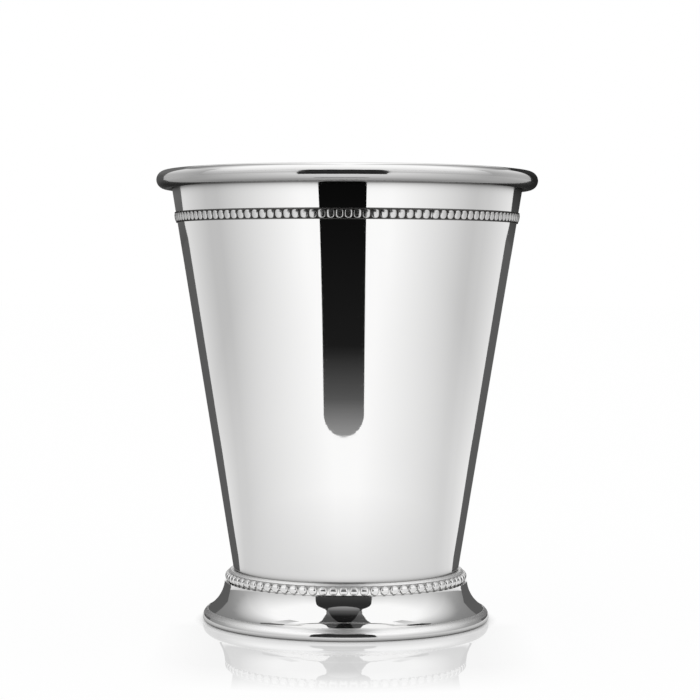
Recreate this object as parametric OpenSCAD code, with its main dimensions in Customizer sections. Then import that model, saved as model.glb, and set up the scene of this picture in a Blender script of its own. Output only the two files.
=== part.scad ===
// Footed julep cup: a tapered cup of drawn sheet with a rolled lip and a soldered band of beads,
// wedged and soldered into a cast foot ring that carries a row of pearls.
// The origin is on the table at the cup's axis, +Z is up and the front of the cup faces -Y.

/* [Cup] */
// Height from the table to the top of the lip
overall_height = 108; // [90:0.5:130]
// Diameter over the lip
lip_diameter = 92; // [80:0.5:105]
// Diameter of the rolled lip's section
lip_roll = 4.4; // [3.6:0.1:6]
// Gap between the free edge of the curl and the wall
curl_gap = 0.15; // [0.1:0.05:0.4]
// Thickness of the cup's sheet
sheet = 1; // [0.7:0.05:1.4]
// Outside diameter of the cup where it enters the foot
waist_diameter = 54.2; // [46:0.2:58]
// Depth of the underside of the cup's floor below the foot's ledge
floor_drop = 5.8; // [5:0.1:8]
// Outside radius of the corner between the wall and the floor
corner_radius = 3; // [2:0.25:3.5]

/* [Beaded band] */
// Depth of the band's middle below the top of the lip
band_drop = 11.2; // [7:0.1:40]
// Height of the strip along the wall
band_height = 2.55; // [2.2:0.05:4]
// Thickness of the strip's ground
band_ground = 0.2; // [0.15:0.01:0.4]
// Width of each half-round rail
rail_width = 0.32; // [0.2:0.02:0.5]
// Whole beads in the strip
bead_count = 129; // [100:1:140]
// Share of one more bead that is left at the cut end
cut_bead = 0.25; // [0.15:0.05:0.5]
// Height of a bead above the ground
bead_relief = 0.32; // [0.24:0.02:0.5]
// Width of the groove between two beads at its foot
groove_width = 0.24; // [0.16:0.02:0.4]
// Height of the web left under a groove
groove_web = 0.04; // [0.03:0.01:0.08]
// Angle of the strip's butt seam to the right of the front
seam_angle = 27.6; // [0:0.2:180]
// Width of the butt seam
seam_gap = 0.14; // [0.1:0.02:0.4]

/* [Foot] */
// Height of the foot's ledge above the table
foot_height = 12.3; // [11:0.1:16]
// Wall of the collar at its ledge
collar_wall = 0.7; // [0.5:0.05:1.2]
// Straight land of the collar above the cup's corner
collar_land = 0.2; // [0.1:0.05:0.5]
// Reach of the ledge past the neck
ledge_reach = 0.5; // [0.3:0.05:0.8]
// Radius of the ledge's edge
ledge_radius = 0.8; // [0.6:0.05:1]
// Diameter over the base
base_diameter = 69; // [64:0.5:76]
// Reach of the base past the foot of the cove
base_reach = 1.36; // [1:0.02:2]
// Radius of the rounded base
base_radius = 2.3; // [2:0.05:2.8]
// Height of the crease between the cove and the base
crease_height = 3; // [2.4:0.1:3.8]
// Radius of the cove
cove_radius = 8.5; // [6:0.25:14]
// Thickness of the foot's wall behind the cove
foot_wall = 1.1; // [0.8:0.05:1.6]
// Width of the ring that the foot stands on, chamfer and edge included
base_width = 3.3; // [2.8:0.1:4.5]
// Chamfer at the inner edge of the base
base_chamfer = 0.4; // [0.2:0.05:0.8]

/* [Pearl wire] */
// Diameter of a pearl
pearl_diameter = 2.1; // [1.7:0.05:2.2]
// Pearls in the row
pearl_count = 75; // [60:1:78]
// Angle of the first pearl from the front
pearl_turn = -1; // [-5:0.1:5]
// Thickness of the backing strip
pearl_strip = 0.3; // [0.2:0.05:0.6]
// Margin of the backing strip above and below the pearls
strip_margin = 0.05; // [0.04:0.01:0.15]
// Height left free in the channel for the wire
pearl_clearance = 0.05; // [0.03:0.01:0.2]

/* [Solder] */
// Distance that the solder holds the band and the pearl wire off the metal behind them
solder_film = 0.06; // [0.05:0.01:0.15]
// Clearance between a film of solder and the metal behind it
solder_clearance = 0.01; // [0.005:0.005:0.03]
// Length of the bevel under the collar, which the fillet of solder fills
fillet_leg = 1.5; // [0.8:0.1:2]

/* [Hidden] */
$fn = 180;
silver = [0.83, 0.83, 0.84];
solder_grey = [0.62, 0.62, 0.63];

// Steps in which the round stretches are drawn, the turn at which the ledge's edge ends,
// and how far the groove's two slopes run out for each unit of rise
curl_steps = 44;
corner_steps = 16;
fillet_steps = 5;
cove_steps = 24;
round_steps = 12;
rail_steps = 6;
pearl_fn = 24;
bead_steps = 6;
ledge_end = 20;
steep_run = 0.25;
flare_run = 1.2;

// Points of an arc, and the turn of a point that lies on the axis side of a centre
function arc(centre, radius, from, to, steps) =
    [for (i = [0:steps])
        let (a = from + (to - from) * i / steps)
        centre + radius * [cos(a), sin(a)]];
function inward_turn(point, centre) =
    180 + atan((point[1] - centre[1]) / (point[0] - centre[0]));

// The wall's outer face runs from the waist and touches the hollow of the lip's roll
lip_radius = lip_roll / 2;
lip_hollow = lip_radius - sheet;
lip_centre = [lip_diameter / 2 - lip_radius, overall_height - lip_radius];
waist = [waist_diameter / 2, foot_height];
to_lip = lip_centre - waist;
lean = atan2(to_lip[0], to_lip[1]) - asin(lip_hollow / norm(to_lip));
along = [sin(lean), cos(lean)];
outward = [cos(lean), -sin(lean)];
function on_wall(up, out) = waist + up * along + out * outward;

// The curl starts where the wall touches it and stops just short of the wall
curl_start = 180 - lean;
curl_end = curl_start - 360 + acos((lip_hollow - curl_gap) / lip_radius);

// Floor and corner of the cup
floor_under = foot_height - floor_drop;
corner_up = (corner_radius * (1 - sin(lean)) - floor_drop) / cos(lean);
corner_centre = on_wall(corner_up, -corner_radius);

// Band: heights are along the wall, depths are out from it
band_up = (overall_height - band_drop - foot_height) / cos(lean);
band_low = band_up - band_height / 2;
band_top = band_up + band_height / 2;
ground_out = solder_film + band_ground;
rail_radius = rail_width / 2;
bead_pitch = 360 / (bead_count + cut_bead);
bead_half = band_height / 2 - rail_width;
bead_radius = (pow(bead_half, 2) + pow(bead_relief, 2)) / (2 * bead_relief);
bead_spread = asin(bead_half / bead_radius);

// Collar, ledge and channel of the foot
collar_low = on_wall(corner_up + collar_land, 0);
neck_radius = waist[0] + collar_wall;
ledge_centre = [neck_radius + ledge_reach - ledge_radius, foot_height - ledge_radius];
channel_top = ledge_centre[1] + ledge_radius * sin(ledge_end);
strip_height = pearl_diameter + 2 * strip_margin;
channel_low = channel_top - pearl_clearance - strip_height;
strip_back = neck_radius + solder_film;
strip_front = strip_back + pearl_strip;

// Cove and base of the foot
cove_top = [strip_front + pearl_diameter / 2, channel_low];
crease = [base_diameter / 2 - base_reach, crease_height];
cove_chord = crease - cove_top;
cove_half = norm(cove_chord) / 2;
cove_across = [-cove_chord[1], cove_chord[0]] / norm(cove_chord);
cove_centre = (cove_top + crease) / 2
    + cove_across * sqrt(cove_radius * cove_radius - cove_half * cove_half);
base_side = base_diameter / 2 - base_radius;
base_rise = sqrt(pow(base_radius, 2) - pow(crease[0] - base_side, 2));
base_centre = [base_side, crease_height - base_rise];
edge_radius = base_centre[1];
base_inner = base_diameter / 2 - base_width;

// Bend of the foot's hollow, one wall behind the middle of the cove, and the bevel under the collar
hollow_bend = cove_centre - (cove_radius + foot_wall) * cove_across;
bevel_end = collar_low + fillet_leg * [1, -1] / sqrt(2);

// Sheet cup: floor, corner, wall and the curl of the lip in one section
module cup_body() {
    color(silver)
    rotate_extrude()
    polygon(concat(
        [[0, floor_under]],
        arc(corner_centre, corner_radius, -90, -lean, corner_steps),
        arc(lip_centre, lip_hollow, curl_start, curl_end, curl_steps),
        arc(lip_centre, lip_radius, curl_end, curl_start, curl_steps),
        arc(corner_centre, corner_radius - sheet, -lean, -90, corner_steps),
        [[0, floor_under + sheet]]));
}

// Turn about the axis to an angle measured to the right of the front
module from_front(angle) {
    rotate([0, 0, angle - 90])
    children();
}

// Strip with its two rails and the plain rounded rib that the beads are parted from
module band_blank() {
    low_rail = arc([band_low + rail_radius, ground_out], rail_radius, 180, 0, rail_steps);
    top_rail = arc([band_top - rail_radius, ground_out], rail_radius, 180, 0, rail_steps);
    rib = arc([band_up, ground_out + bead_relief - bead_radius], bead_radius,
        90 + bead_spread, 90 - bead_spread, bead_steps);
    face = concat(low_rail, [for (i = [1:bead_steps - 1]) rib[i]], top_rail);
    rotate_extrude()
    polygon(concat(
        [on_wall(band_low, solder_film)],
        [for (p = face) on_wall(p[0], p[1])],
        [on_wall(band_top, solder_film)]));
}

// Flared groove between two beads, across the strip from rail to rail
module bead_groove() {
    base = on_wall(band_up, ground_out);
    rise = bead_relief - groove_web;
    half = groove_width / 2;
    steep = half + steep_run * rise;
    wide = steep + flare_run * rise;
    translate([base[0], 0, base[1]])
    rotate([0, lean, 0])
    translate([0, 0, -bead_half])
    linear_extrude(height = 2 * bead_half)
    polygon([[groove_web, -half], [groove_web + rise / 2, -steep], [groove_web + 3 * rise / 2, -wide],
        [groove_web + 3 * rise / 2, wide], [groove_web + rise / 2, steep], [groove_web, half]]);
}

// A block across the strip at the seam
module seam_block() {
    low = on_wall(band_low - band_height, 0);
    top = on_wall(band_top + band_height, band_height);
    from_front(seam_angle)
    translate([low[0] / 2, -seam_gap / 2, low[1]])
    cube([top[0] - low[0] / 2, seam_gap, top[1] - low[1]]);
}

// Strip parted into its whole beads and the cut one, and open at the butt seam
module beaded_band() {
    color(silver)
    difference() {
        band_blank();
        for (i = [1:bead_count])
            from_front(seam_angle + i * bead_pitch)
            bead_groove();
        seam_block();
    }
}

// Film of solder between the wall and the strip
module band_solder() {
    color(solder_grey)
    rotate_extrude()
    polygon([on_wall(band_low, solder_clearance), on_wall(band_low, solder_film),
        on_wall(band_top, solder_film), on_wall(band_top, solder_clearance)]);
}

// Foot ring: collar, ledge, channel, cove, rounded base and the hollow inside
module foot() {
    color(silver)
    rotate_extrude()
    polygon(concat(
        [waist],
        arc(ledge_centre, ledge_radius, 90, ledge_end, round_steps),
        [[neck_radius, channel_top], [neck_radius, channel_low]],
        arc(cove_centre, cove_radius,
            inward_turn(cove_top, cove_centre), inward_turn(crease, cove_centre), cove_steps),
        arc(base_centre, base_radius,
            atan2(base_rise, crease[0] - base_side), 0, round_steps),
        arc([base_diameter / 2 - edge_radius, edge_radius], edge_radius, 0, -90, round_steps),
        [[base_inner + base_chamfer, 0], [base_inner, base_chamfer],
            hollow_bend, bevel_end, collar_low]));
}

// Backing strip with its row of half pearls
module pearl_wire() {
    color(silver)
    difference() {
        union() {
            translate([0, 0, channel_low])
            cylinder(r = strip_front, h = strip_height);
            for (i = [0:pearl_count - 1])
                from_front(pearl_turn + i * 360 / pearl_count)
                translate([strip_front, 0, channel_low + strip_height / 2])
                rotate([0, 90, 0])
                sphere(d = pearl_diameter, $fn = pearl_fn);
        }
        translate([0, 0, channel_low - pearl_diameter])
        cylinder(r = strip_back, h = strip_height + 2 * pearl_diameter);
    }
}

// Film of solder between the neck and the backing strip
module pearl_solder() {
    color(solder_grey)
    rotate_extrude()
    translate([neck_radius + solder_clearance, channel_low])
    square([solder_film - solder_clearance, strip_height]);
}

// Fillet of solder between the cup's corner and the bevel under the collar
module foot_solder() {
    corner = arc(corner_centre, corner_radius, -90, -lean, corner_steps);
    color(solder_grey)
    rotate_extrude()
    polygon(concat(
        [for (i = [corner_steps - fillet_steps:corner_steps]) corner[i]],
        [collar_low, bevel_end]));
}

cup_body();
beaded_band();
band_solder();
foot();
pearl_wire();
pearl_solder();
foot_solder();
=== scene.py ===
# %% [markdown]
# # A footed julep cup
# A julep cup is a tapered cup of polished metal with a rolled lip, a soldered band of beads and a cast
# foot. The solids of its parts come first, as a frame that this script never moves. Everything below
# dresses that frame: finer meshes where the light shows a facet, and a finish for each metal.
# Loading the frame first means that every later piece can take its place from a real part.

# %% Load the frame
import math

import bpy
import numpy as np
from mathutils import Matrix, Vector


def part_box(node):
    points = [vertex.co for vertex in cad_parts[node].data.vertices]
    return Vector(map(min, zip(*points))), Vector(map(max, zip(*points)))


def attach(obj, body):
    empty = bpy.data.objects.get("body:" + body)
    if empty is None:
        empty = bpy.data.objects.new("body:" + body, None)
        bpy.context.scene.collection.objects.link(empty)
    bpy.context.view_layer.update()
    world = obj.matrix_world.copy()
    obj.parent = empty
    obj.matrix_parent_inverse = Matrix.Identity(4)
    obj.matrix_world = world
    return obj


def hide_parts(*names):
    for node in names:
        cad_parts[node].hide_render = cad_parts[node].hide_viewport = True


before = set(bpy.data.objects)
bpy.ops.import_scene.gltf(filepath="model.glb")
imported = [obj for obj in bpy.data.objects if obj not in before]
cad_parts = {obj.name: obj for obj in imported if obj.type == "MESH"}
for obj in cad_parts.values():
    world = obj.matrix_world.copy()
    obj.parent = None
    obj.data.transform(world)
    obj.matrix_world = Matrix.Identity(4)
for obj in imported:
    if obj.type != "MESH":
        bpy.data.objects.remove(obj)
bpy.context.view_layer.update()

scene = bpy.context.scene
scene.view_settings.view_transform = "Standard"
print("frame nodes:", sorted(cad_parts))

# %% [markdown]
# ## Sizes in millimetres
# A silversmith works from a drawing, so the script keeps one too. The outer sizes are read back from
# the frame. The rest are the drawing's own numbers, in millimetres, and a mesh is scaled to metres
# only when it is made. The wall of the cup leans out from the foot and runs into the hollow of the lip.

# %% Read the cup's drawing
MM = 0.001
cup_high = np.array(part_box("cup_body")[1]) / MM
foot_high = np.array(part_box("foot")[1]) / MM
lip_reach, cup_top = cup_high[0], cup_high[2]
foot_reach, ledge_top = foot_high[0], foot_high[2]
sheet = 1.0
lip_radius = 2.2
waist_radius = 27.1
lip_hollow = lip_radius - sheet
lip_centre = np.array([lip_reach - lip_radius, cup_top - lip_radius])
waist = np.array([waist_radius, ledge_top])
to_lip = lip_centre - waist
lean = math.atan2(*to_lip) - math.asin(lip_hollow / np.hypot(*to_lip))
along = np.array([math.sin(lean), math.cos(lean)])
outward = np.array([math.cos(lean), -math.sin(lean)])


def on_wall(up, out):
    """A point of the section: up along the outer wall from the waist, and out from it."""
    return waist + up * along + out * outward


print(f"wall leans {math.degrees(lean):.2f} degrees, lip reaches {lip_reach:.2f} mm")

# %% [markdown]
# ## Turning a section
# The cup is raised and spun, and the foot is cast and then turned on a lathe, so both are round about
# one axis. A Screw modifier could spin a curve, but writing the rings one by one keeps the number of facets
# and the sharp corners under control. A point on the axis becomes one vertex, so the floor closes in a
# neat fan. Each vertex also carries how dark it is made, as tarnish and as painted shade, which the finishes
# read later.

# %% Points of a section
def arc(centre, radius, start, end, steps):
    """Points of an arc, with its angles in degrees."""
    turn = np.radians(np.linspace(start, end, steps + 1))
    return np.array(centre) + radius * np.column_stack([np.cos(turn), np.sin(turn)])


def line(start, end, steps):
    """Points between two ends, without the ends."""
    share = np.arange(1, steps)[:, None] / steps
    return np.array(start) + share * (np.array(end) - np.array(start))


print("middle of a line from 0, 0 to 2, 4:", line((0, 0), (2, 4), 2).tolist())


# %% Mesh of a piece
def add_layer(mesh, name, values):
    """Stores a value at each vertex, which a finish can read."""
    layer = mesh.attributes.new(name, "FLOAT", "POINT")
    layer.data.foreach_set("value", np.asarray(values, np.float32))


def mesh_piece(name, points, faces, tarnish_and_shade, crease):
    """A smooth mesh piece from points in millimetres, with corners over crease degrees kept sharp."""
    mesh = bpy.data.meshes.new(name)
    mesh.from_pydata((np.asarray(points) * MM).tolist(), [], faces)
    mesh.polygons.foreach_set("use_smooth", np.ones(len(mesh.polygons), bool))
    mesh.set_sharp_from_angle(angle=math.radians(crease))
    add_layer(mesh, "tarnish_and_shade", tarnish_and_shade)
    mesh.update()
    piece = bpy.data.objects.new(name, mesh)
    scene.collection.objects.link(piece)
    print(f"{name}: {len(points)} vertices, {len(faces)} faces")
    return piece


print(f"a millimetre becomes {MM} in a mesh")

# %% Lathe
FACETS = 360
ON_AXIS = 1e-6


def turned(name, runs, closed, crease=30.0):
    """Turns a section about the axis. Its runs are (points as radius and height, tarnish and painted shade).
    """
    section = np.vstack([points for points, tarnish_and_shade in runs])
    stains_and_shades = np.concatenate([np.broadcast_to(tarnish_and_shade, len(points)) for points, tarnish_and_shade in runs])
    points, rings, tarnish_and_shade = [], [], []
    spin = 2 * np.pi * np.arange(FACETS) / FACETS
    for (radius, height), stain_and_shade in zip(section, stains_and_shades):
        first = len(points)
        if radius < ON_AXIS:
            points.append((0.0, 0.0, height))
            rings.append([first] * FACETS)
        else:
            points.extend(zip(radius * np.sin(spin), -radius * np.cos(spin), [height] * FACETS))
            rings.append(list(range(first, first + FACETS)))
        tarnish_and_shade.extend([stain_and_shade] * (len(points) - first))
    faces = []
    for i in range(len(section) if closed else len(section) - 1):
        low, high = rings[i], rings[(i + 1) % len(section)]
        for j in range(FACETS):
            k = (j + 1) % FACETS
            corners = [low[j], low[k], high[k], high[j]]
            faces.append([c for n, c in enumerate(corners) if c != corners[n - 1]])
    return mesh_piece(name, points, faces, tarnish_and_shade, crease)


print(f"a facet at the lip is {2 * math.pi * lip_reach / FACETS:.2f} mm wide")

# %% [markdown]
# ## The cup
# The cup is one sheet: a flat floor, a rounded corner, a straight wall and a lip made by curling the
# sheet outward until its edge nearly meets the wall again. It could be a solid with a torus on top, but
# the section of the real sheet gives the thin shadow under the curl for free, and painted shade deepens it.
# The wall is divided most finely near the foot and the lip, where painted shade fades over a fraction of a
# millimetre.

# %% Section of the sheet
corner_radius, floor_drop = 3.0, 5.8
curl_gap = 0.15
lean_degrees = math.degrees(lean)
corner_up = (corner_radius * (1 - math.sin(lean)) - floor_drop) / math.cos(lean)
corner_centre = on_wall(corner_up, -corner_radius)
outer_corner = arc(corner_centre, corner_radius, -90, -lean_degrees, 24)
inner_corner = arc(corner_centre, corner_radius - sheet, -lean_degrees, -90, 24)
curl_start = 180 - lean_degrees
curl_end = curl_start - 360 + math.degrees(math.acos((lip_hollow - curl_gap) / lip_radius))
curl_inside = arc(lip_centre, lip_hollow, curl_start, curl_end, 90)
curl_outside = arc(lip_centre, lip_radius, curl_end, curl_start, 120)
floor_under = ledge_top - floor_drop
floor_bottom, floor_top = (0.0, floor_under), (0.0, floor_under + sheet)
print(f"the lip curls through {curl_start - curl_end:.0f} degrees")

# %% Heights along the wall
fine_low, fine_high = 2.0, 4.0
wall_top = math.sqrt(to_lip @ to_lip - lip_hollow**2)
lip_shade = (lip_centre[1] - lip_radius - ledge_top) / math.cos(lean)
wall_ups = np.concatenate([
    np.linspace(corner_up, 0, 9)[1:-1],
    np.linspace(0, fine_low, 21),
    np.linspace(fine_low, lip_shade - fine_high, 45)[1:-1],
    np.linspace(lip_shade - fine_high, wall_top, 40)[:-1]])
wall = np.array([on_wall(up, 0) for up in wall_ups])
print(f"{len(wall)} heights along {wall_top:.1f} mm of wall")

# %% Painted shade of the cup
# Painted shade: the wall darkens where it meets the foot and just below the curl, and the curl darkens on
# its underside, most where it turns back towards the wall. The cup's underside and the inside of the curl
# are darkened too.
floor_stain, hidden_stain = 0.3, 0.8
foot_painted_shade, foot_fade = 0.85, 0.45
lip_painted_shade, lip_fade = 0.6, 0.6
foot_corner = foot_painted_shade * np.exp(-np.maximum(wall_ups, 0) / foot_fade)
lip_corner = lip_painted_shade * np.exp(-np.maximum(lip_shade - wall_ups, 0) / lip_fade)
curl_turns = np.linspace(curl_end, curl_start, len(curl_outside))
under_lip = np.interp(curl_turns, [-75, -45, -24, -14, 12, 33], [0.68, 0.6, 0.42, 0.34, 0.3, 0.0])
print(f"tarnish reaches {under_lip.max():.2f} under the lip")

# %% Turn the cup
cup_runs = [
    ([floor_bottom], floor_stain),
    (line(floor_bottom, outer_corner[0], 6), floor_stain),
    (outer_corner, floor_stain),
    (wall, np.maximum(foot_corner, lip_corner)),
    (curl_inside, hidden_stain),
    (curl_outside, under_lip),
    (line(curl_outside[-1], inner_corner[0], 60), 0.0),
    (inner_corner, 0.0),
    (line(inner_corner[-1], floor_top, 6), 0.0),
    ([floor_top], 0.0)]
cup = turned("cup_shell", cup_runs, closed=False)
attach(cup, "root")
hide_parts("cup_body")

# %% [markdown]
# ## The foot
# The foot is a hollow casting. From the top down it has a rounded ledge, a channel for the pearls, a
# hollow cove and a rounded base. The cove is an arc whose centre lies outside the foot, so light sweeps
# over it the other way from the wall above. Bevelled cylinders could be stacked to make it, but one
# outline keeps every curve running into the next. The inside is left as cast: two plain slopes that
# keep clear of the cove by the thickness of the wall.

# %% Ledge and channel
collar_wall, collar_land = 0.7, 0.2
ledge_reach, ledge_radius, ledge_end = 0.5, 0.8, 20
pearl_diameter, pearl_strip, strip_margin, pearl_clearance = 2.1, 0.3, 0.05, 0.05
solder_film = 0.06
neck_radius = waist_radius + collar_wall
ledge_centre = np.array([neck_radius + ledge_reach - ledge_radius, ledge_top - ledge_radius])
channel_top = ledge_centre[1] + ledge_radius * math.sin(math.radians(ledge_end))
strip_height = pearl_diameter + 2 * strip_margin
channel_low = channel_top - pearl_clearance - strip_height
strip_back = neck_radius + solder_film
strip_front = strip_back + pearl_strip
print(f"channel from {channel_low:.2f} to {channel_top:.2f} mm")

# %% Cove
base_reach, crease_height = 1.36, 3.0
cove_radius = 8.5
cove_top = np.array([strip_front + pearl_diameter / 2, channel_low])
crease = np.array([foot_reach - base_reach, crease_height])
chord = crease - cove_top
across = np.array([-chord[1], chord[0]]) / np.hypot(*chord)
cove_centre = (cove_top + crease) / 2 + across * math.sqrt(cove_radius**2 - chord @ chord / 4)


def inward_turn(point):
    """Angle of a point of the cove, which lies on the axis side of its centre."""
    return 180 + math.degrees(math.atan((point[1] - cove_centre[1]) / (point[0] - cove_centre[0])))


print(f"cove turns from {inward_turn(cove_top):.0f} to {inward_turn(crease):.0f} degrees")

# %% Base and inside
base_radius, base_width, base_chamfer = 2.3, 3.3, 0.4
foot_wall, bevel_leg = 1.1, 1.5
base_side = foot_reach - base_radius
base_rise = math.sqrt(base_radius**2 - (crease[0] - base_side) ** 2)
edge_radius = crease_height - base_rise
base_centre = np.array([base_side, edge_radius])
edge_centre = np.array([foot_reach - edge_radius, edge_radius])
base_start = math.degrees(math.atan2(base_rise, crease[0] - base_side))
base_inner = foot_reach - base_width
base_low = np.array([base_inner, base_chamfer])
collar_low = on_wall(corner_up + collar_land, 0)
hollow_bend = cove_centre - (cove_radius + foot_wall) * across
bevel_end = collar_low + bevel_leg * np.array([1, -1]) / math.sqrt(2)
print(f"rest ring from {base_inner + base_chamfer:.1f} to {foot_reach - edge_radius:.1f} mm")

# %% Turn the foot
# Painted shade darkens the base towards its lower edge, where it meets the table, and the channel behind the
# pearls. The inside keeps the darker grey of bare casting, and the underside is darkened a little.
cast_grey_and_shade, rest_stain, chamfer_stain = 0.5, 0.1, 0.3
base_painted_shade = np.interp(range(40), [25, 39], [0, 0.2])
edge_painted_shade = np.linspace(0.3, 1.0, 20)
foot_runs = [
    ([waist], 0.0),
    (arc(ledge_centre, ledge_radius, 90, ledge_end, 24), 0.0),
    ([(neck_radius, channel_top), (neck_radius, channel_low)], cast_grey_and_shade),
    (arc(cove_centre, cove_radius, inward_turn(cove_top), inward_turn(crease), 60), 0.0),
    (arc(base_centre, base_radius, base_start, 0, 40)[1:], base_painted_shade),
    (arc(edge_centre, edge_radius, 0, -90, 20)[1:], edge_painted_shade),
    ([(base_inner + base_chamfer, 0)], rest_stain),
    ([base_low], chamfer_stain),
    (line(base_low, hollow_bend, 8), cast_grey_and_shade),
    ([hollow_bend], cast_grey_and_shade),
    (line(hollow_bend, bevel_end, 6), cast_grey_and_shade),
    ([bevel_end], cast_grey_and_shade),
    ([collar_low], cast_grey_and_shade),
    (line(collar_low, waist, 12), 0.0)]
foot = turned("foot_casting", foot_runs, closed=True)
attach(foot, "root")
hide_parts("foot")

# %% Softness of the foot's polish
ledge_satin, shoulder_satin = 0.42, 0.3
shoulder_turns = np.radians([24, 30])
shoulder = base_centre[1] + base_radius * np.sin(shoulder_turns)
past_crease = crease[0] + 0.01


def satin_of(point):
    """Softness of the foot's polish: the ledge and the shoulder of the base are buffed less."""
    if point.z > channel_top * MM:
        return ledge_satin
    on_base = math.hypot(point.x, point.y) > past_crease * MM
    return np.interp(point.z / MM, shoulder, [0.0, shoulder_satin]) if on_base else 0.0


foot_satin = [satin_of(vertex.co) for vertex in foot.data.vertices]
add_layer(foot.data, "satin", foot_satin)
print(f"{np.count_nonzero(foot_satin)} of {len(foot_satin)} vertices are softer")

# %% [markdown]
# ## The beaded band
# The band is a thin strip, rolled between dies that raise two rails and a row of pillow-shaped beads,
# then bent round the cup and soldered. Each bead could be its own small object, but the real strip is one
# piece, so one closed skin is lifted by the height of the beads and rails above the strip's ground.
# Columns of points crowd together at the sides of each bead, where it rises most steeply. The strip's
# two ends meet at a thin seam, and the last bead beside it is cut short.

# %% Shape of one bead across the strip
band_drop, band_height, band_ground, rail_width = 11.2, 2.55, 0.12, 0.32
bead_count, cut_bead, seam_angle, seam_gap = 129, 0.25, 27.6, 0.14
bead_relief, bead_wide, bead_tall = 0.3, 1.74, 2.06
side_power, rise_power = 2.5, 2.8
band_up = (cup_top - band_drop - ledge_top) / math.cos(lean)
ground_out = solder_film + band_ground
bead_pitch = 360 / (bead_count + cut_bead)
pitch_length = math.radians(bead_pitch) * on_wall(band_up, ground_out)[0]
rail_radius = rail_width / 2
rail_place = band_height / 2 - rail_radius
inner_half = band_height / 2 - rail_width


def face_height(beside, up):
    """Height above the strip's ground, beside and up from the middle of a bead."""
    side, rise = 2 * abs(beside) / bead_wide, 2 * abs(up) / bead_tall
    dome = max(0.0, 1 - side**side_power - rise**rise_power)
    bead = bead_relief * math.sqrt(dome) if side < 1 else 0.0
    rail = math.sqrt(max(0.0, rail_radius**2 - (abs(up) - rail_place) ** 2))
    return max(bead, rail)


print(f"bead pitch {pitch_length:.3f} mm, middle of a bead {face_height(0, 0):.2f} mm high")

# %% Points across and along the strip
rail_rows = rail_place - rail_radius * np.cos(np.radians(np.linspace(0, 180, 8)))
field_rows = inner_half * np.sin(np.radians(np.linspace(-90, 90, 23)))[1:-1]
rows = np.concatenate([-rail_rows[::-1], field_rows, rail_rows])
seam_share = seam_gap / 2 / pitch_length
half_share = bead_wide / 2 / pitch_length
strip_end = bead_count + cut_bead - seam_share
bead_columns = half_share * np.sin(np.radians(np.linspace(-90, 90, 17)))
places = {seam_share, strip_end}
for bead in range(bead_count + 1):
    places.add(float(bead))
    places.update(float(bead + 0.5 + step) for step in bead_columns)
places = sorted(p for p in places if seam_share <= p <= strip_end)
print(f"{len(rows)} points across the strip, {len(places)} along it")

# %% Roll the strip round the cup
# Painted shade darkens the two rails and the strip's edges against the wall. The strip's ground darkens,
# less the higher the beads rise above it.
rail_painted_shade, band_edge_painted_shade, ground_dark_height = 0.85, 0.8, 0.12
band_crease = 62.0
half_band = band_height / 2
strip_points, strip_darkening = [], []
for place in places:
    turn = math.radians(seam_angle + place * bead_pitch)
    beside = (place % 1 - 0.5) * pitch_length
    heights = [face_height(beside, up) for up in rows]
    loop = [on_wall(band_up - half_band, solder_film)]
    loop += [on_wall(band_up + up, ground_out + height) for up, height in zip(rows, heights)]
    loop += [on_wall(band_up + half_band, solder_film)]
    strip_points += [(r * math.sin(turn), -r * math.cos(turn), z) for r, z in loop]
    stains_and_shades = [max(0.0, 1 - height / ground_dark_height) if abs(up) < inner_half else rail_painted_shade
              for up, height in zip(rows, heights)]
    strip_darkening += [band_edge_painted_shade, *stains_and_shades, band_edge_painted_shade]
girth = len(rows) + 2
strip_faces = []
for column in range(len(places) - 1):
    here, there = column * girth, (column + 1) * girth
    for row in range(girth):
        up = (row + 1) % girth
        strip_faces.append([here + row, there + row, there + up, here + up])
strip_faces.append(list(range(girth)))
strip_faces.append(list(range(len(places) * girth - 1, (len(places) - 1) * girth - 1, -1)))
band = mesh_piece("band_strip", strip_points, strip_faces, strip_darkening, band_crease)
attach(band, "root")
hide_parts("beaded_band")

# %% [markdown]
# ## The pearls
# The row of pearls under the ledge is a second strip, soldered into the foot's channel. Rolling leaves its
# pearls round in outline and from top to bottom, but a little flat along the strip. Balls pushed through a
# strip would leave hidden faces inside, so each pearl is built into its own cell of the strip: a dome, and
# a flat collar that runs from the dome's foot to the edges of the cell. The cells are then welded into one
# closed ring with a plain back.

# %% Dome of a pearl
pearl_count, pearl_turn = 75, -1.0
pearl_rise, flat_power = 0.9, 6
pearl_radius = pearl_diameter / 2
cell_half = math.pi * strip_front / pearl_count
half_strip = strip_height / 2
TINY = 1e-6


def dome_lift(beside, up):
    """Height of a pearl's dome, beside and up from its middle, all as shares of its radius."""
    chord_half = math.sqrt(max(0.0, 1 - up**2))
    if chord_half < TINY:
        return 0.0
    share = min(1.0, abs(beside) / chord_half)
    return pearl_rise * chord_half * math.sqrt(max(0.0, 1 - share**flat_power))


def cell_edge(turn):
    """Where a ray from the pearl's middle meets the edge of its cell."""
    across, up = math.cos(turn), math.sin(turn)
    reach = min(cell_half / max(abs(across), TINY), half_strip / max(abs(up), TINY))
    return reach * across, reach * up


print(f"pearl cell {2 * cell_half:.3f} by {strip_height:.3f} mm, dome {pearl_radius * pearl_rise:.2f} mm")

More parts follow.
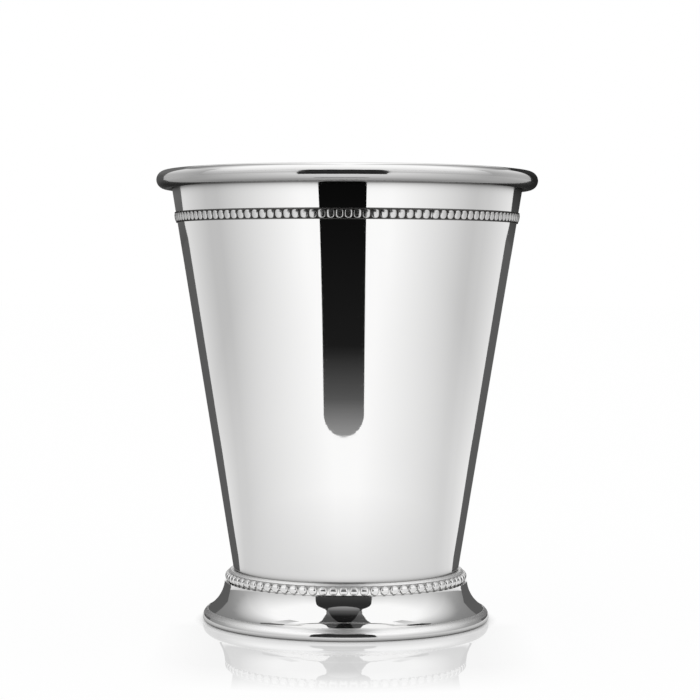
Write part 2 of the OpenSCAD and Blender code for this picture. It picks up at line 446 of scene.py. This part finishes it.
# %% One cell of the pearl strip
ROUND, RISE = 48, 12
corner_turn = math.atan2(half_strip, cell_half)
turns = 2 * math.pi * np.arange(ROUND) / ROUND
for corner in (corner_turn, math.pi - corner_turn, math.pi + corner_turn, 2 * math.pi - corner_turn):
    turns[np.argmin(abs(turns - corner))] = corner
cell = [(*cell_edge(turn), 0.0) for turn in turns]
for ring in range(RISE):
    inward = math.cos(math.pi / 2 * ring / RISE)
    for turn in turns:
        beside, up = inward * math.cos(turn), inward * math.sin(turn)
        lift = dome_lift(beside, up) if ring else 0.0
        cell.append((pearl_radius * beside, pearl_radius * up, pearl_radius * lift))
cell.append((0.0, 0.0, pearl_radius * dome_lift(0, 0)))
cell_faces = []
for ring in range(RISE):
    for i in range(ROUND):
        k = (i + 1) % ROUND
        low, high = ring * ROUND, (ring + 1) * ROUND
        cell_faces.append([low + i, low + k, high + k, high + i])
top_ring = RISE * ROUND
cell_faces += [[top_ring + i, top_ring + (i + 1) % ROUND, len(cell) - 1] for i in range(ROUND)]
print(f"{len(cell)} points in a cell's front")

# %% Back of a cell
top_edge = [i for i in range(ROUND) if abs(cell[i][1] - half_strip) < TINY]
low_edge = [i for i in range(ROUND) if abs(cell[i][1] + half_strip) < TINY]
top_edge.sort(key=lambda i: cell[i][0])
low_edge.sort(key=lambda i: cell[i][0])
back_top = range(len(cell), len(cell) + len(top_edge))
back_low = range(back_top.stop, back_top.stop + len(low_edge))
cell += [(cell[i][0], cell[i][1], strip_back - strip_front) for i in top_edge + low_edge]
for i in range(len(top_edge) - 1):
    cell_faces.append([top_edge[i], top_edge[i + 1], back_top[i + 1], back_top[i]])
    cell_faces.append([low_edge[i + 1], low_edge[i], back_low[i], back_low[i + 1]])
    cell_faces.append([back_low[i + 1], back_low[i], back_top[i], back_top[i + 1]])
print(f"{len(top_edge)} points along a cell's top edge, {len(cell_faces)} faces in a cell")

# %% Weld the cells into a ring
WELD_DIGITS = 4
pearl_middle = channel_low + half_strip
pearl_faces, weld, welded = [], {}, []
for pearl in range(pearl_count):
    middle_turn = math.radians(pearl_turn + 360 * pearl / pearl_count)
    vertex_of = []
    for beside, up, out in cell:
        turn = middle_turn + beside / strip_front
        radius = strip_front + out
        point = (radius * math.sin(turn), -radius * math.cos(turn), pearl_middle + up)
        key = tuple(round(c, WELD_DIGITS) for c in point)
        if key not in weld:
            weld[key] = len(welded)
            welded.append(point)
        vertex_of.append(weld[key])
    pearl_faces += [[vertex_of[i] for i in face] for face in cell_faces]
print(f"{pearl_count * len(cell)} points welded to {len(welded)}")

# %% Painted shade between the pearls
pearl_shade_height, pearl_crease = 0.2, 50.0


def painted_pearl_shade(x, y, z):
    """Painted shade on the strip: it darkens low between the pearls, and most towards the ledge above them.
    """
    out = math.hypot(x, y) - strip_front
    most = np.interp(z - pearl_middle, [-0.3, 0.7], [0.0, 0.45])
    return np.clip(most * (1 - out / pearl_shade_height), 0, 1)


pearl_painted_shade = [painted_pearl_shade(*point) for point in welded]
pearl_satin = [np.interp(z - pearl_middle, [0.4, 0.7], [0.0, 0.4]) for x, y, z in welded]
pearls = mesh_piece("pearl_strip", welded, pearl_faces, pearl_painted_shade, pearl_crease)
add_layer(pearls.data, "satin", pearl_satin)
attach(pearls, "root")
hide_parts("pearl_wire")

# %% [markdown]
# ## Polished silver
# Polished metal has almost no colour of its own: it shows the room. What tells it from a perfect mirror
# is slight: buffing lines that run round the cup, a soft cloudiness in the shine, and dark tarnish left in
# hollows. One flat colour would look like plastic foil, so noise stretched round the axis varies the
# roughness and lifts a tiny bump. The value stored on the mesh darkens the colour towards a dark grey:
# tarnish in hidden places, and painted shade under the lip, at the foot of the wall, along the base's lower
# edge, on the band's rails and under the ledge over the pearls.

# %% Helpers that feed a node
def feed(tree, socket, value):
    """Links a socket to a value that is a socket itself, or else sets it to the value."""
    if isinstance(value, bpy.types.NodeSocket):
        tree.links.new(value, socket)
    else:
        socket.default_value = value


def math_node(tree, operation, *values):
    """A sum, product or the like of sockets and numbers; returns the output socket."""
    node = tree.nodes.new("ShaderNodeMath")
    node.operation = operation
    for socket, value in zip(node.inputs, values):
        feed(tree, socket, value)
    return node.outputs["Value"]


def mix_node(tree, factor, first, second):
    """A mix of two colours; returns the output socket."""
    node = tree.nodes.new("ShaderNodeMix")
    node.data_type = "RGBA"
    for name, value in (("Factor", factor), ("A", first), ("B", second)):
        feed(tree, node.inputs[name], value)
    return node.outputs["Result"]


def range_node(tree, value, low, high, from_low=0.0, from_high=1.0):
    """Maps a value from one range to another and returns the output socket."""
    node = tree.nodes.new("ShaderNodeMapRange")
    feed(tree, node.inputs["Value"], value)
    feed(tree, node.inputs["From Min"], from_low)
    feed(tree, node.inputs["From Max"], from_high)
    feed(tree, node.inputs["To Min"], low)
    feed(tree, node.inputs["To Max"], high)
    return node.outputs["Result"]


print("helpers for numbers and colours")


# %% Helpers for metal
def stored(tree, name, output="Fac"):
    """What a mesh stores at its vertices under a name, as an output socket."""
    node = tree.nodes.new("ShaderNodeAttribute")
    node.attribute_name = name
    return node.outputs[output]


def noise_node(tree, stretch, scale, detail):
    """Noise over the object, squeezed along its axes by stretch; returns the output socket."""
    place = tree.nodes.new("ShaderNodeTexCoord")
    squeeze = tree.nodes.new("ShaderNodeMapping")
    noise = tree.nodes.new("ShaderNodeTexNoise")
    feed(tree, squeeze.inputs["Scale"], stretch)
    feed(tree, squeeze.inputs["Vector"], place.outputs["Object"])
    feed(tree, noise.inputs["Scale"], scale)
    feed(tree, noise.inputs["Detail"], detail)
    feed(tree, noise.inputs["Vector"], squeeze.outputs["Vector"])
    return noise.outputs["Fac"]


def bump_node(tree, height, strength, distance):
    """A bump from a height; returns the output socket."""
    node = tree.nodes.new("ShaderNodeBump")
    feed(tree, node.inputs["Strength"], strength)
    feed(tree, node.inputs["Distance"], distance)
    feed(tree, node.inputs["Height"], height)
    return node.outputs["Normal"]


def new_metal(name):
    """A new metal; returns the material, its node tree and its shader's sockets."""
    finish = bpy.data.materials.new(name)
    finish.use_nodes = True
    sockets = finish.node_tree.nodes["Principled BSDF"].inputs
    sockets["Metallic"].default_value = 1.0
    return finish, finish.node_tree, sockets


EVEN = (1.0, 1.0, 1.0)
ROUND_THE_AXIS = (1.0, 1.0, 26.0)
print("helpers for metal, with lines stretched", ROUND_THE_AXIS)

# %% Silver finish
LINE_SCALE, LINE_DETAIL, LINE_SPAN = 55.0, 4.0, (0.35, 0.7)
CLOUD_SCALE, CLOUD_DETAIL, CLOUD_DIM = 38.0, 3.0, 0.975
STAIN_ROUGHNESS = 0.15
BUFF_DEPTH = 0.02 * MM


def silver_finish(name, bright, oxide_and_shade, shine, dull, buff):
    """Polished silver: bright metal darkened by stored tarnish and painted shade, roughness from shine to
    dull, buffing bump.
    """
    finish, tree, sockets = new_metal(name)
    lines = noise_node(tree, ROUND_THE_AXIS, LINE_SCALE, LINE_DETAIL)
    clouds = noise_node(tree, EVEN, CLOUD_SCALE, CLOUD_DETAIL)
    shade_and_tarnish = stored(tree, "tarnish_and_shade")
    clean = mix_node(tree, clouds, (*(CLOUD_DIM * c for c in bright), 1.0), (*bright, 1.0))
    # The stored value mixes in the dark grey, as tarnish and as painted shade.
    darkened = mix_node(tree, shade_and_tarnish, clean, (*oxide_and_shade, 1.0))
    feed(tree, sockets["Base Color"], darkened)
    feed(tree, sockets["Specular Tint"], darkened)
    polish = range_node(tree, lines, shine, dull, *LINE_SPAN)
    worn = math_node(tree, "MULTIPLY_ADD", shade_and_tarnish, STAIN_ROUGHNESS, polish)
    feed(tree, sockets["Roughness"], math_node(tree, "ADD", worn, stored(tree, "satin")))
    feed(tree, sockets["Normal"], bump_node(tree, lines, buff, BUFF_DEPTH))
    return finish


print(f"buffing bump of {BUFF_DEPTH / MM:.2f} mm")

# %% Four silver pieces
SILVER, BAND_SILVER = (0.97, 0.968, 0.965), (0.76, 0.758, 0.755)
# Dark grey for tarnish and for painted shade.
OXIDE_AND_SHADE = (0.05, 0.048, 0.046)
# The band's finish is greyer and rougher, and it carries painted shade on its rails and edges.
silver_pieces = [
    (cup, "polished_cup_silver", SILVER, 0.02, 0.06, 0.12),
    (foot, "polished_foot_silver", SILVER, 0.02, 0.06, 0.12),
    (band, "band_silver_with_painted_shade", BAND_SILVER, 0.2, 0.3, 0.15),
    (pearls, "pearl_silver", SILVER, 0.09, 0.14, 0.12)]
for piece, name, bright, shine, dull, buff in silver_pieces:
    piece.data.materials.append(silver_finish(name, bright, OXIDE_AND_SHADE, shine, dull, buff))
    print(f"{piece.name} is finished in {name}")

# %% [markdown]
# ## Solder
# Solder is duller and greyer than silver, and it cools with a faint crust. Two of the three joints are
# films that only show as a hairline, and the third is a fillet inside the foot, so the frame's own
# solids are fine enough. They keep their shape and only get a finish, with the crust made by fine noise.

# %% Solder finish
DARK_SOLDER, PALE_SOLDER = (0.36, 0.36, 0.37, 1.0), (0.62, 0.62, 0.63, 1.0)
SOLDER_SHINE, SOLDER_DULL = 0.28, 0.5
CRUST_SCALE, CRUST_DETAIL = 900.0, 5.0
CRUST_STRENGTH, CRUST_DEPTH = 0.3, 0.05 * MM
solder, tree, sockets = new_metal("soft_solder")
crust = noise_node(tree, EVEN, CRUST_SCALE, CRUST_DETAIL)
grey = tree.nodes.new("ShaderNodeValToRGB")
grey.color_ramp.elements[0].color = DARK_SOLDER
grey.color_ramp.elements[1].color = PALE_SOLDER
feed(tree, grey.inputs["Fac"], crust)
feed(tree, sockets["Base Color"], grey.outputs["Color"])
feed(tree, sockets["Roughness"], range_node(tree, crust, SOLDER_SHINE, SOLDER_DULL))
feed(tree, sockets["Normal"], bump_node(tree, crust, CRUST_STRENGTH, CRUST_DEPTH))
solder_joints = ("band_solder", "pearl_solder", "foot_solder")
for joint in solder_joints:
    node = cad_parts[joint]
    node.data.materials.clear()
    node.data.materials.append(solder)
print("solder on", ", ".join(solder_joints))

# %% [markdown]
# ## The studio
# A mirror-bright cup is lit by what it reflects. To the eye the room is plain white: a pale floor under an
# even, soft sky. What the silver mirrors is less even: grey walls, and dark cards of the kind that
# photographers set round such a cup, so that its edges and its middle show against the white. Lamps would
# leave hot spots on the silver, so every board here is a mesh that glows with a tone stored at its points.

# %% Boards of the studio
room_turns = np.linspace(-180, 180, 181)


def board(name, points, faces, tones):
    """A mesh of the studio with a tone at each of its points, in millimetres."""
    mesh = bpy.data.meshes.new(name)
    mesh.from_pydata((np.asarray(points, float) * MM).tolist(), [], faces)
    layer = mesh.attributes.new("tone", "FLOAT_COLOR", "POINT")
    shades = np.ones((len(points), 4), np.float32)
    shades[:, :3] = np.asarray(tones, np.float32)[:, None]
    layer.data.foreach_set("color", shades.ravel())
    piece = bpy.data.objects.new(name, mesh)
    scene.collection.objects.link(piece)
    return piece


def grid_faces(columns, rows):
    """Quads of a grid whose points run row by row."""
    return [[r * columns + c, r * columns + c + 1, (r + 1) * columns + c + 1, (r + 1) * columns + c]
            for r in range(rows - 1) for c in range(columns - 1)]


def round_board(name, turns, rings, tone):
    """A board round the cup's axis: rings of (radius, height), with tones from tone(turn, ring)."""
    points, tones = [], []
    for i, (radius, height) in enumerate(rings):
        for turn in turns[i] if np.ndim(turns) > 1 else turns:
            around = math.radians(turn)
            points.append((radius * math.sin(around), -radius * math.cos(around), height))
            tones.append(tone(turn, i))
    return board(name, points, grid_faces(len(points) // len(rings), len(rings)), tones)


print(f"a full board has {len(room_turns)} columns")

# %% [markdown]
# ## The floor
# The cup stands on a pale, smooth table. A plain plane would do for the eye, but the lower half of the cup
# mirrors the table, which is brightest in front and greyer at the sides. So the floor is a disc of rings
# that looks white to the camera and shows its tones only in reflections. Its rings run from the outside
# in, so that its faces look up and the Fresnel node below reads them from the right side.

# %% Floor
floor_rings = [6000, 700, 330, 240, 160, 105, 85, 60, 36, 1]


def table_tone(turn, distance):
    """Brightness of the floor by angle from the front and distance, with a lift behind on the right."""
    front = np.interp(distance, [60, 105], [0.79, 1.0])
    side = np.interp(distance, [150, 330], [0.62, 0.5])
    start = np.interp(distance, [100, 400], [8, 33])
    lift = np.interp(turn, [85, 102, 150, 180], [0.0, 0.08, 0.08, 0.0])
    return np.interp(abs(turn), [start, 92, 104, 135], [front, side, side, side + 0.22]) + lift


floor = round_board("studio_floor", room_turns, [(radius, 0) for radius in floor_rings],
                    lambda turn, i: table_tone(turn, floor_rings[i]))
print(f"floor of {len(floor_rings)} rings, {floor_rings[0] / 1000:.0f} m in radius")

# %% White paint that keeps the shadow
glow_near, glow_far, glow_reach = 0.35, 0.92, (34.3 * MM, 36.5 * MM)
WHITE, PALE = (1.0, 1.0, 1.0, 1.0), (0.96, 0.96, 0.96, 1.0)


def mix_shader(tree, factor, first, second):
    """A mix of two shaders; returns the output socket."""
    node = tree.nodes.new("ShaderNodeMixShader")
    for socket, value in zip(node.inputs, (factor, first, second)):
        feed(tree, socket, value)
    return node.outputs["Shader"]


pale = bpy.data.materials.new("pale_floor")
pale.use_nodes = True
tree = pale.node_tree
paint = tree.nodes["Principled BSDF"]
paint.inputs["Base Color"].default_value = PALE
paint.inputs["Roughness"].default_value = 1.0
paint.inputs["Specular IOR Level"].default_value = 0.0
ray = tree.nodes.new("ShaderNodeLightPath")
by_camera, by_gloss = ray.outputs["Is Camera Ray"], ray.outputs["Is Glossy Ray"]
seen = math_node(tree, "MAXIMUM", by_camera, by_gloss)
seen = math_node(tree, "MAXIMUM", seen, ray.outputs["Is Transmission Ray"])
place = tree.nodes.new("ShaderNodeTexCoord").outputs["Object"]
distance = tree.nodes.new("ShaderNodeVectorMath")
distance.operation = "LENGTH"
feed(tree, distance.inputs[0], place)
far_out = distance.outputs["Value"]
glow = tree.nodes.new("ShaderNodeEmission")
feed(tree, glow.inputs["Color"], mix_node(tree, by_gloss, WHITE, stored(tree, "tone", "Color")))
glow_share = math_node(tree, "MULTIPLY", seen, range_node(tree, far_out, glow_near, glow_far, *glow_reach))
lit = mix_shader(tree, glow_share, paint.outputs["BSDF"], glow.outputs["Emission"])
print(f"the floor glows by {glow_far:.0%} from {glow_reach[1] / MM:.1f} mm outward")

# %% Polish of the table in front of the foot
polish_fade, side_fade, back_fade = (70 * MM, 94 * MM), (29 * MM, 43 * MM), (-12 * MM, -4 * MM)
table_roughness, table_index = 0.02, 1.38
gloss = tree.nodes.new("ShaderNodeBsdfGlossy")
gloss.inputs["Roughness"].default_value = table_roughness
fresnel = tree.nodes.new("ShaderNodeFresnel")
fresnel.inputs["IOR"].default_value = table_index
axes = tree.nodes.new("ShaderNodeSeparateXYZ")
feed(tree, axes.inputs["Vector"], place)
beside = math_node(tree, "ABSOLUTE", axes.outputs["X"])
polish = math_node(tree, "MULTIPLY", fresnel.outputs["Fac"], by_camera)
for value, fade in ((far_out, polish_fade), (beside, side_fade), (axes.outputs["Y"], back_fade)):
    polish = math_node(tree, "MULTIPLY", polish, range_node(tree, value, 1.0, 0.0, *fade))
coated = mix_shader(tree, polish, lit, gloss.outputs["BSDF"])
feed(tree, tree.nodes["Material Output"].inputs["Surface"], coated)
floor.data.materials.append(pale)
print(f"the table mirrors the foot out to {polish_fade[1] / MM:.0f} mm")

# %% Sky
sky = bpy.data.worlds.new("soft_sky")
sky.use_nodes = True
backdrop = sky.node_tree.nodes["Background"]
backdrop.inputs["Color"].default_value = WHITE
backdrop.inputs["Strength"].default_value = 1.0
scene.world = sky
print("the sky is white")

# %% [markdown]
# ## The walls of the room
# Silver mirrors the whole room, and a pure white room would leave it flat. A real studio has grey walls
# that grow paler towards the lamps above. They could be modelled one by one, but a dome whose tone is a
# formula of direction and height has no corners to show. The dome, like every card after it, is seen only
# by reflections, so it neither shades the floor nor stands in the picture.

# %% Paint for what only reflections see
card_paint = bpy.data.materials.new("studio_card")
card_paint.use_nodes = True
tree = card_paint.node_tree
tree.nodes.remove(tree.nodes["Principled BSDF"])
glow = tree.nodes.new("ShaderNodeEmission")
feed(tree, glow.inputs["Color"], stored(tree, "tone", "Color"))
feed(tree, tree.nodes["Material Output"].inputs["Surface"], glow.outputs["Emission"])


def hide(piece):
    """Paints a board so that only reflections see it."""
    piece.data.materials.append(card_paint)
    piece.visible_camera = False
    piece.visible_diffuse = False
    piece.visible_shadow = False
    piece.visible_transmission = False


def card(name, turns, rings, tone):
    """A round board that only reflections see."""
    hide(round_board(name, turns, rings, tone))


print("cards are painted with", card_paint.name)

# %% Dome of walls and ceiling
dome_radius = 2500
sky_angles = [0, 8, 16, 24, 32, 40, 50, 60, 75, 89]


def sky_tone(turn, i):
    """Brightness of the walls and ceiling: grey at the sides, and paler the higher it is."""
    away = abs(turn)
    low = np.interp(away, [40, 83, 100, 135, 160, 168], [0.7, 0.56, 0.42, 0.26, 0.2, 1.0])
    start = np.interp(away, [80, 104, 116, 140], [0, 2, 12, 38])
    span = np.interp(away, [40, 83, 116], [25, 42, 70])
    return low + (1 - low) * np.clip((sky_angles[i] - start) / span, 0, 1)


sky_rings = [(dome_radius * math.cos(a), dome_radius * math.sin(a)) for a in np.radians(sky_angles)]
card("studio_walls", room_turns, sky_rings, sky_tone)
print(f"dome {dome_radius / 1000} m in radius")

# %% [markdown]
# ## The dark stripe
# A narrow dark card in front gives the wall its black stripe with a round lower end. Further away, the same
# card would also cut a step into the lip's own dark line. So it hangs edge-on to the lip, nearer than a
# real card could: a slice of a cone that widens downward from just outside the lip. The wall mirrors its
# face, and the lip sees only its edge.

# %% Card for the stripe
def spread(middle, halves, steps=12):
    """Turns across a board for each of its rings, about its middle."""
    return np.array([np.linspace(middle - half, middle + half, steps + 1) for half in halves])


edge_reach, edge_height, cone_slope = 45.7, 104.65, 3
tip_height, tip_depth, stripe_top = 37.1, 6.8, 103.4
half_low, half_high, half_tip, stripe_middle = 12.4, 8.1, 0.01, -1.6
tip = np.radians(np.linspace(90, 0, 16))
stripe_heights = np.concatenate([tip_height - tip_depth * np.sin(tip),
                                 np.linspace(tip_height, stripe_top, 30)[1:]])
stripe_halves = np.concatenate([half_low * np.cos(tip) + half_tip,
                                np.linspace(half_low, half_high, 30)[1:]])
stripe_rings = [(edge_reach + (edge_height - height) / cone_slope, height) for height in stripe_heights]
card("stripe_card", spread(stripe_middle, stripe_halves), stripe_rings,
     lambda turn, i: np.interp(stripe_heights[i], [30, 42, 57, 100], [0.3, 0.085, 0.011, 0.003]))
print(f"stripe card from {stripe_heights.min():.1f} to {stripe_heights.max():.1f} mm")

# %% [markdown]
# ## Dark cards in front
# The lip and the foot show dark shapes of their own: a thin slit along the lip, an hourglass in the cove
# and a line on the base. A tall card further out makes the top of the hourglass, and a low one near the lip
# makes the slit. A sloping canopy above makes the hourglass's lower half. It starts just over the lip and
# rises edge-on to it, so the lip doesn't mirror it, and its upper side is white for what sees it from above.

# %% Tall card and slit card
front_reach, front_middle = 600, -2.0
front_heights = [0.5, 120, 250, 330, 400, 440, 520]
front_halves = [25.5, 25.5, 25.5, 24.3, 21.0, 18.5, 18.0]
slit_reach, slit_low, slit_high = 60, 99.2, 106
slit_middle, slit_half, slit_tone = -1.8, 15.9, 0.025
card("front_card", spread(front_middle, front_halves), [(front_reach, height) for height in front_heights],
     lambda turn, i: np.interp(front_heights[i], [0, 120, 250], [0.05, 0.035, 0.025]))
card("slit_card", spread(slit_middle, [slit_half] * 2), [(slit_reach, slit_low), (slit_reach, slit_high)],
     lambda turn, i: slit_tone)
print(f"front card {front_heights[-1]} mm tall")

# %% Canopy
canopy_start, canopy_low, canopy_slope, canopy_middle = 46, 106.2, 0.748, -1.6
lid_gap = 0.02
canopy_places = [46.3, 54, 66, 100, 135, 190, 300, 470, 600]
canopy_widths = np.interp(canopy_places, [canopy_start, 66, 190, 600], [30, 32, 63, 190])
canopy_turns = spread(canopy_middle, np.degrees(canopy_widths / canopy_places))
canopy_rings = [(place, canopy_low + (place - canopy_start) * canopy_slope) for place in canopy_places]
canopy_lid = [(place, height + lid_gap) for place, height in canopy_rings]
card("canopy_card", canopy_turns, canopy_rings,
     lambda turn, i: np.interp(canopy_places[i], [100, 140, 200, 470, 600], [0.075, 0.1, 0.16, 0.14, 0.07]))
card("canopy_top", canopy_turns, canopy_lid, lambda turn, i: 1.0)
print(f"canopy rises to {canopy_rings[-1][1]:.0f} mm")

# %% [markdown]
# ## Dark cards behind
# Against a white ground a silver cup would lose its outline, so a photographer stands dark cards behind it,
# just out of the picture, and the edges of the wall and foot mirror them as dark bars. They could be two
# flat cards, but pieces bent round the cup's axis keep the bars even from lip to foot. Each side has one
# piece lying on the table and one standing up. Smaller light and dark ones by the lip shape its two ends.

# %% Lying and standing cards
BAR_TONE, HIGH_TONE = 0.105, 0.4
back_reach, back_end = 280, 164
card_low, upright_middle, high_low, high_top = 0.6, 40, 125, 260
side_rings = [(reach, card_low) for reach in (45, 78, 120, 170, 230, back_reach)]
side_edges = [112, 119, 126, 129, 131, 133]
upright_turns = np.linspace(side_edges[-1], back_end, 13)
SIDES = ((1, "right"), (-1, "left"))
for side, name in SIDES:
    lying_turns = np.array([np.linspace(side * edge, side * back_end, 13) for edge in side_edges])
    card("back_card_" + name, lying_turns, side_rings, lambda turn, i: BAR_TONE)
    points = []
    for turn in upright_turns:
        around = math.radians(side * turn)
        upright_top = np.interp(turn, [130, 142, 150], [61, 96, 104])
        for height in (card_low, upright_middle, upright_top):
            points.append((back_reach * math.sin(around), -back_reach * math.cos(around), height))
    hide(board("upright_card_" + name, points, grid_faces(3, len(upright_turns)), [BAR_TONE] * len(points)))
high_turns = np.linspace(back_end, 360 - back_end, 9)
high_rings = [(back_reach, high_low), (back_reach, high_top)]
card("back_card_high", high_turns, high_rings, lambda turn, i: HIGH_TONE)
print(f"cards behind from {side_edges[0]} to {back_end} degrees")

# %% Cards beside the lip
lip_card_reach, light_start, lip_card_end = 70, 66, 150
lip_rings = [(lip_card_reach, 88), (lip_card_reach, 104), (lip_card_reach, 140)]
lip_edges = [111, 104, 103]
low_tone, left_tone, right_tone = 0.09, 0.15, 0.03


def lip_card_tone(turn, i):
    """Tone of a dark card by the lip: above its lowest ring the right one is darker than the left."""
    if i == 0:
        return low_tone
    return left_tone if turn < 0 else right_tone


for side, name in SIDES:
    light_turns = np.array([np.linspace(side * light_start, side * edge, 9) for edge in lip_edges[1:]])
    dark_turns = np.array([np.linspace(side * edge, side * lip_card_end, 13) for edge in lip_edges])
    card("lip_light_" + name, light_turns, lip_rings[1:],
         lambda turn, i: np.interp(abs(turn), [light_start, 100], [0.5, 0.74]))
    card("lip_card_" + name, dark_turns, lip_rings, lip_card_tone)
print(f"lip cards at {lip_card_reach} mm")

# %% [markdown]
# ## The camera
# The photograph was taken from in front, from about three quarters of the cup's height, with the camera
# level and a long lens. Tilting the camera would make the wall's two sides lean, so the frame is moved
# down with the lens shift instead, only as far as the picture needs.

# %% Camera
PICTURE, SENSOR = 700, 36.0
focal_pixels, right_pixels, down_pixels = 2150, 3.11, 72.16
eye_distance, eye_height, eye_roll = 520, 82.39, -0.19
eye = bpy.data.cameras.new("front_view")
eye.sensor_width = SENSOR
eye.lens = SENSOR * focal_pixels / PICTURE
eye.shift_x = right_pixels / PICTURE
eye.shift_y = -down_pixels / PICTURE
eye.clip_start = 10 * MM
camera = bpy.data.objects.new("front_view", eye)
camera.location = (0.0, -eye_distance * MM, eye_height * MM)
camera.rotation_euler = (math.radians(90), math.radians(eye_roll), 0.0)
scene.collection.objects.link(camera)
scene.camera = camera
print(f"lens {eye.lens:.1f} mm")
